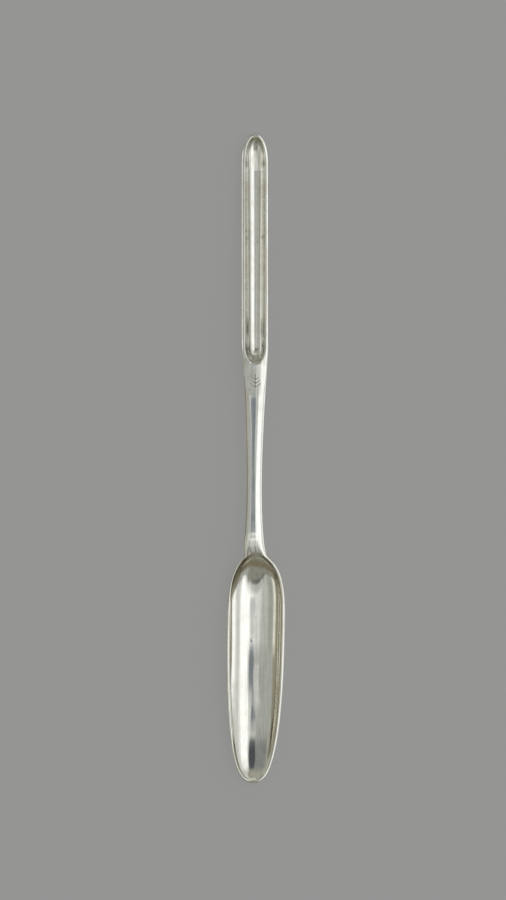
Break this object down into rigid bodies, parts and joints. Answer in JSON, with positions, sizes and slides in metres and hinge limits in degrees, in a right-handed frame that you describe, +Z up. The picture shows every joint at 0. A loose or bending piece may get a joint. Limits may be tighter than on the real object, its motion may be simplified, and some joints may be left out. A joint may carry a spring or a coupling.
{
  "type": "marrow scoop",
  "caption": "Silver marrow scoop: a long deep bowl and a narrow trough at the two ends of one waisted stem, with a soldered drop under the heel.",
  "frame": {"origin": "on the table, under the middle of the scoop's bounding box", "axes": "+Y along the scoop from the bowl's tip to the narrow channel's tip, +Z up out of both hollows, +X to the right"},
  "size_m": [0.0204, 0.225, 0.0086],
  "materials": {
    "polished_silver": "hand polished sterling silver with fine scratches",
    "worn_silver": "hand polished sterling silver, duller inside, with warm tarnish along the walls"
  },
  "bodies": {
    "root": {"bowl": "worn_silver", "stem": "polished_silver", "channel": "worn_silver", "drop": "polished_silver"}
  },
  "joints": []
}
